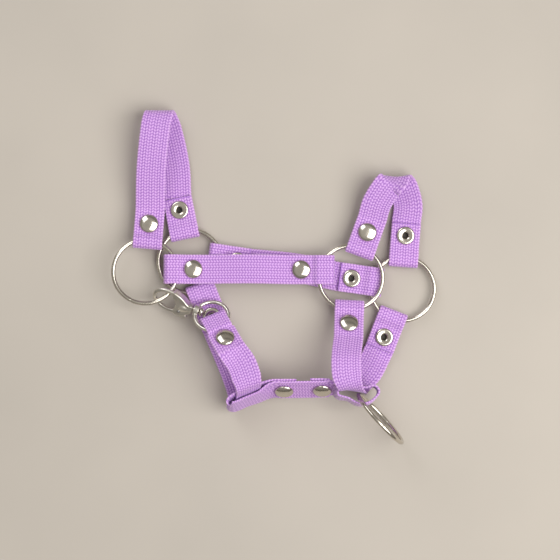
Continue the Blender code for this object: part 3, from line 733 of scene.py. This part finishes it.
def build_hook(place):
    """The cast hook: a forked, bellied body with the round limb of the hook and the swivel's collar."""
    outline = [(3.6, 6.8), (5.8, 6.5), (8.8, 5.1), (11.6, 2.9), (13.2, 2.1), (NECK_AT, 2.1), (NECK_AT, -2.1),
               (13.4, -2.9), (11.4, -5.0), (8.6, -6.0), (6.0, -5.6), (5.2, -3.7), (6.1, -1.4), (5.9, 0.8),
               (4.9, 2.7), (3.6, 3.9)]
    body = new_object("clasp_hook_cast", plate_mesh("clasp_hook_cast", rounded_outline(outline), 2.3, 0.6))
    body.matrix_world = place
    steps = 28
    bend = [(-0.1 + 6.0 * cos(radians(88 + 131 * k / steps)), 0.8 + 4.7 * sin(radians(88 + 131 * k / steps)), 0)
            for k in range(steps + 1)]
    lead_in = [(6.4, 4.1, 0), (5.4, 4.5, 0), (4.2, 4.95, 0), (3.0, 5.3, 0), (1.6, 5.5, 0)]
    radii = [1.45, 1.4, 1.3, 1.22, 1.15] + [1.1 - 0.16 * k / steps for k in range(steps + 1)]
    limb = cutter("hook_limb", bar_mesh("hook_limb", lead_in + bend, radii), place)
    combine(body, limb, "UNION", "EXACT")
    belly = bar_mesh("hook_belly", [(8.1, 0.5, 0), (8.8, 0, 0), (9.8, -0.4, 0), (11.4, -0.4, 0), (13.2, 0, 0)],
                     [2.3, 2.8, 3.1, 2.9, 2.4])
    combine(body, cutter("hook_belly", belly, place), "UNION", "EXACT")
    tip = turned("nose_ball", [(0, -1.05)] + [(1.05 * cos(radians(a)), 1.05 * sin(radians(a)))
                                             for a in range(-75, 90, 15)] + [(0, 1.05)], 24)
    combine(body, cutter("hook_nose", tip, place @ Matrix.Translation(Vector(bend[-1]) * MM)), "UNION", "EXACT")
    collar = turned("neck_collar", [(0, -0.8), (2.3, -0.8), (2.55, -0.45), (2.55, 0.45), (2.3, 0.8),
                                    (0, 0.8)], 32)
    combine(body, cutter("neck_collar", collar, place @ Matrix.Translation(Vector((13.7, 0, 0)) * MM)
                         @ Matrix.Rotation(pi / 2, 4, "Y")), "UNION", "EXACT")
    softened(body, HOOK_VOXEL, 8)
    slot = box_mesh("gate_slot", (4.6, 12.4), (-8.5, -1.6), 1.0)
    combine(body, cutter("gate_slot", slot, place), "DIFFERENCE", "EXACT")
    combine(body, local_cylinder("pin_hole", 0.95, place, (*PIN_AT, -4), (*PIN_AT, 4)), "DIFFERENCE", "EXACT")
    combine(body, local_cylinder("swivel_hole", SWIVEL_RADIUS + 0.2, place, (11.4, 0, 0), (16, 0, 0)),
            "DIFFERENCE", "EXACT")
    applied(body)
    body.data.shade_smooth()
    body.data.set_sharp_from_angle(angle=radians(40))
    dress(body, CAST, "hook", "nickel", "clasp_hook")


def build_gate(place):
    """The gate's lever with its thumb tab, its pin and the coil spring behind it."""
    hinge = place @ Matrix.Translation(Vector((*PIN_AT, 0)) * MM)
    lever = [(-3.4, -3.6), (-2.5, -4.9), (0.4, -6.0), (4.2, -6.3), (7.0, -6.0), (9.2, -7.3),
             (11.0, -7.7), (12.6, -6.9), (12.4, -5.6), (10.4, -4.4), (9.9, -2.9), (9.1, -1.8),
             (7.6, -1.7), (6.8, -2.6), (5.2, -4.2), (2.0, -4.5), (-0.6, -4.0), (-2.5, -3.1)]
    shape = rounded_outline([(u - PIN_AT[0], v - PIN_AT[1]) for u, v in lever])
    gate = new_object("clasp_gate_lever", plate_mesh("clasp_gate_lever", shape, 0.8, 0.3))
    gate.matrix_world = hinge
    combine(gate, local_cylinder("gate_hole", PIN_RADIUS + 0.15, place, (*PIN_AT, -3), (*PIN_AT, 3)),
            "DIFFERENCE", "EXACT")
    softened(gate, GATE_VOXEL, 2)
    dress(gate, CAST, "gate", "nickel", "clasp_gate")

    pin = new_object("gate_pin_rivet", turned("gate_pin_rivet", [
        (0, 2.45), (0.5, 2.42), (0.74, 2.3), (PIN_RADIUS, 2.1), (PIN_RADIUS, -2.1), (0.74, -2.3), (0.5, -2.42),
        (0, -2.45)], 32))
    pin.matrix_world = hinge
    dress(pin, STEEL, "hook", "steel", "gate_pin")

    turns, per_turn = 3, 28
    coil = [(6.9 + 0.75 * cos(2 * pi * k / per_turn), -1.2 + 3.0 * k / (turns * per_turn),
             0.75 * sin(2 * pi * k / per_turn)) for k in range(turns * per_turn + 1)]
    spring = new_object("gate_spring_coil", bar_mesh("gate_spring_coil", coil, [0.2] * len(coil), 3))
    spring.matrix_world = place
    dress(spring, STEEL, "hook", "steel", "gate_spring")


def build_swivel(place):
    """The headed post in the hook's tail and the eye whose boss it turns in."""
    swivel = new_object("swivel_barrel", turned("swivel_barrel", [
        (0, 20.6), (1.3, 20.58), (1.75, 20.4), (2.1, 20.05), (2.2, 19.7), (2.2, 19.2), (2.05, 18.95),
        (SWIVEL_RADIUS + 0.1, 18.6), (SWIVEL_RADIUS, 18.4), (SWIVEL_RADIUS, 11.8), (0, 11.8)], 36))
    swivel.matrix_world = place @ Matrix.Rotation(pi / 2, 4, "Y")
    dress(swivel, NICKEL, "hook", "nickel", "swivel_post")

    eye = new_object("clasp_eye_cast", ring_mesh("clasp_eye", EYE_RADIUS, EYE_WIRE, steps=96, sides=18))
    eye.matrix_world = ring_matrix(EYE, EYE_NORMAL)
    half = BOSS_LENGTH / 2
    combine(eye, local_cylinder("eye_boss", BOSS_RADIUS - 0.05, place,
                                (BOSS_AT - half, 0, 0), (BOSS_AT + half, 0, 0)), "UNION", "EXACT")
    combine(eye, local_cylinder("eye_hole", BOSS_HOLE - 0.1, place, (BOSS_AT - 3, 0, 0), (BOSS_AT + 3.9, 0, 0)),
            "DIFFERENCE", "EXACT")
    softened(eye, EYE_VOXEL, 4)
    dress(eye, CAST, "eye", "nickel", "clasp_eye")


def box_mesh(name, along_u, along_v, half_height):
    corners = [(u, v, n) for u in along_u for v in along_v for n in (-half_height, half_height)]
    faces = [(0, 1, 3, 2), (4, 6, 7, 5), (0, 4, 5, 1), (2, 3, 7, 6), (0, 2, 6, 4), (1, 5, 7, 3)]
    data = bpy.data.meshes.new(name)
    data.from_pydata([Vector(c) * MM for c in corners], [], faces)
    return outward(data)


# ---------------------------------------------------------------- surroundings

def area_light(name, place, aim, size, power, colour=(1, 1, 1)):
    data = bpy.data.lights.new(name, "AREA")
    data.shape = "RECTANGLE"
    data.size, data.size_y = size
    data.energy = power
    data.color = colour
    made = new_object(name, data)
    made.location = place
    made.rotation_euler = (Vector(aim) - Vector(place)).to_track_quat("-Z", "Y").to_euler()


def surroundings():
    floor = new_object("floor", box_mesh("floor", (-3000, 3000), (-3000, 3000), 10))
    floor.location = (0, 0, -0.01)
    floor.data.materials.append(floor_material())
    area_light("key", (0.7, -0.2, 1.05), (0, 0, 0), (1.1, 1.1), 17, (1, 0.98, 0.95))
    area_light("fill", (-0.5, 0.75, 0.75), (0, 0, 0), (0.5, 0.9), 4, (0.98, 0.985, 1))
    world = bpy.data.worlds.new("studio")
    world.use_nodes = True
    backdrop = world.node_tree.nodes["Background"]
    ray = node(world.node_tree, "ShaderNodeTexCoord").outputs["Generated"]
    height = node(world.node_tree, "ShaderNodeSeparateXYZ", {"Vector": ray}).outputs["Z"]
    shades = ramp(world.node_tree, height, [(0.05, (0.16, 0.14, 0.12)), (0.45, (0.5, 0.47, 0.43)),
                                            (0.62, (0.28, 0.26, 0.24)), (0.8, (0.66, 0.63, 0.58))])
    world.node_tree.links.new(shades, backdrop.inputs["Color"])
    backdrop.inputs["Strength"].default_value = 0.75
    bpy.context.scene.world = world
    camera = new_object("camera", bpy.data.cameras.new("camera"))
    camera.location = Vector(CAMERA_AT) * MM
    camera.data.lens = CAMERA_LENS
    camera.data.sensor_width = 36
    camera.data.clip_start = 0.01
    bpy.context.scene.camera = camera
    bpy.context.scene.view_settings.view_transform = "Standard"


build_rings()
rivets = build_straps()
rivets.update(build_jaw_strap())
build_rivets(rivets)
clasp_place = clasp_frame()
build_hook(clasp_place)
build_gate(clasp_place)
build_swivel(clasp_place)
surroundings()
